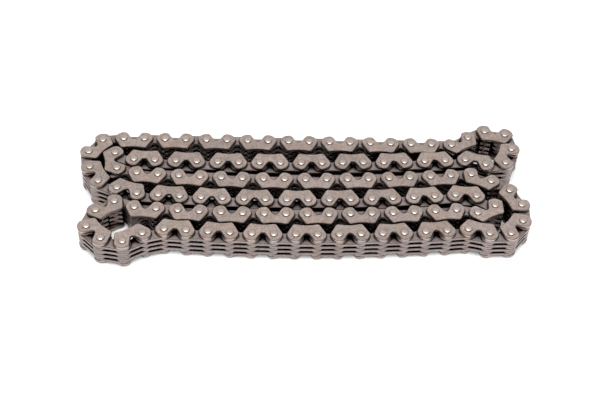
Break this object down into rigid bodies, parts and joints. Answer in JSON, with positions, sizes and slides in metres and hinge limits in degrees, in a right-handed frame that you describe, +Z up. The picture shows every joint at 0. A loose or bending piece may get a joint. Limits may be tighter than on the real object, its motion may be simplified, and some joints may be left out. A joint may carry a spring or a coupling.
{
  "type": "silent timing chain",
  "caption": "Endless inverted-tooth silent chain of laced steel plates on riveted pins, folded into a flat hank and lying on its side.",
  "frame": {"origin": "middle of the chain's bounding box at the plane that the lower pin ends rest on", "axes": "+X along the folded strands, +Z up along the pins, +Y across the strands towards strand 1"},
  "size_m": [0.1353, 0.0507, 0.0094],
  "materials": {
    "chain_steel": "satin, tumbled, lightly oiled",
    "inner_plates": "satin, tumbled, lightly oiled"
  },
  "bodies": {
    "middle_strands": {"strand_3_run_1": "chain_steel", "strand_3_run_2": "chain_steel", "strand_3_run_3": "chain_steel", "strand_3_run_4": "chain_steel", "strand_3_run_5": "chain_steel", "strand_4_run_1": "chain_steel", "strand_4_run_2": "chain_steel", "strand_4_run_3": "chain_steel", "strand_4_run_4": "chain_steel", "strand_4_run_5": "chain_steel", "strand_2_run_1": "chain_steel", "strand_2_run_2": "chain_steel", "strand_2_run_3": "chain_steel", "strand_2_run_4": "chain_steel", "strand_2_run_5": "chain_steel", "left_inner_bend_inner_link_40": "inner_plates", "left_inner_bend_guide_link_41": "chain_steel", "left_inner_bend_inner_link_42": "inner_plates", "right_outer_bend_guide_link_59": "chain_steel", "left_outer_bend_guide_link_121": "chain_steel", "left_outer_bend_inner_link_122": "inner_plates", "left_outer_bend_guide_link_123": "chain_steel", "left_outer_bend_inner_link_124": "inner_plates", "left_outer_bend_guide_link_125": "chain_steel"},
    "strand_1_left_part": {"strand_1_run_1": "chain_steel", "strand_1_run_2": "chain_steel", "strand_1_run_3": "chain_steel"},
    "strand_1_right_part": {"strand_1_run_4": "chain_steel", "strand_1_run_5": "chain_steel", "right_end_loop_inner_link_18": "inner_plates", "right_end_loop_guide_link_19": "chain_steel", "right_end_loop_inner_link_20": "inner_plates", "right_end_loop_guide_link_21": "chain_steel"},
    "strand_6": {"strand_6_run_1": "chain_steel", "strand_6_run_2": "chain_steel", "strand_6_run_3": "chain_steel", "strand_6_run_4": "chain_steel", "strand_6_run_5": "chain_steel", "right_outer_bend_guide_link_61": "chain_steel", "right_outer_bend_inner_link_62": "inner_plates", "right_outer_bend_guide_link_63": "chain_steel", "right_outer_bend_inner_link_64": "inner_plates", "left_end_loop_inner_link_82": "inner_plates", "left_end_loop_guide_link_83": "chain_steel", "left_end_loop_inner_link_84": "inner_plates", "left_end_loop_guide_link_85": "chain_steel", "left_end_loop_inner_link_86": "inner_plates"},
    "strand_5": {"strand_5_run_1": "chain_steel", "strand_5_run_2": "chain_steel", "strand_5_run_3": "chain_steel", "strand_5_run_4": "chain_steel", "strand_5_run_5": "chain_steel", "right_inner_bend_inner_link_102": "inner_plates", "right_inner_bend_guide_link_103": "chain_steel"},
    "left_outer_bend_inner_link_0": {"left_outer_bend_inner_link_0": "inner_plates"},
    "right_end_loop_inner_link_22": {"right_end_loop_inner_link_22": "inner_plates"},
    "right_outer_bend_inner_link_60": {"right_outer_bend_inner_link_60": "inner_plates"},
    "right_inner_bend_inner_link_104": {"right_inner_bend_inner_link_104": "inner_plates"}
  },
  "joints": [
    {"name": "strand_1_lift", "type": "hinge", "parent": "middle_strands", "child": "left_outer_bend_inner_link_0", "pos_m": [-0.06132, 0.01732, 0.0047], "axis": [0, 0, 1], "range_deg": [0, 60]},
    {"name": "left_outer_bend_pin_1", "type": "hinge", "parent": "left_outer_bend_inner_link_0", "child": "strand_1_left_part", "pos_m": [-0.05501, 0.01805, 0.0047], "axis": [0, 0, 1], "range_deg": [-60.5, 0]},
    {"name": "right_end_loop_pin_23", "type": "hinge", "parent": "middle_strands", "child": "right_end_loop_inner_link_22", "pos_m": [0.05624, 0.00881, 0.0047], "axis": [0, 0, 1], "range_deg": [0, 60.5]},
    {"name": "right_end_loop_pin_22", "type": "hinge", "parent": "right_end_loop_inner_link_22", "child": "strand_1_right_part", "pos_m": [0.06255, 0.00954, 0.0047], "axis": [0, 0, 1], "range_deg": [-60.5, 0]},
    {"name": "lower_strands_swing", "type": "hinge", "parent": "middle_strands", "child": "right_outer_bend_inner_link_60", "pos_m": [0.05701, 0.00181, 0.0047], "axis": [0, 0, 1], "range_deg": [-40, 0]},
    {"name": "right_outer_bend_pin_61", "type": "hinge", "parent": "right_outer_bend_inner_link_60", "child": "strand_6", "pos_m": [0.06217, -0.00189, 0.0047], "axis": [0, 0, 1], "range_deg": [0, 40.5]},
    {"name": "right_inner_bend_pin_105", "type": "hinge", "parent": "middle_strands", "child": "right_inner_bend_inner_link_104", "pos_m": [0.05177, -0.00423, 0.0047], "axis": [0, 0, 1], "range_deg": [-40.5, 0]},
    {"name": "right_inner_bend_pin_104", "type": "hinge", "parent": "right_inner_bend_inner_link_104", "child": "strand_5", "pos_m": [0.05693, -0.00793, 0.0047], "axis": [0, 0, 1], "range_deg": [0, 40.5]}
  ],
  "couplings": [
    {"joint": "left_outer_bend_pin_1", "follows": "strand_1_lift", "ratio": -1},
    {"joint": "right_end_loop_pin_23", "follows": "strand_1_lift", "ratio": 1},
    {"joint": "right_end_loop_pin_22", "follows": "strand_1_lift", "ratio": -1},
    {"joint": "right_inner_bend_pin_104", "follows": "lower_strands_swing", "ratio": -1},
    {"joint": "right_outer_bend_pin_61", "follows": "lower_strands_swing", "ratio": -1},
    {"joint": "right_inner_bend_pin_105", "follows": "lower_strands_swing", "ratio": 1}
  ]
}
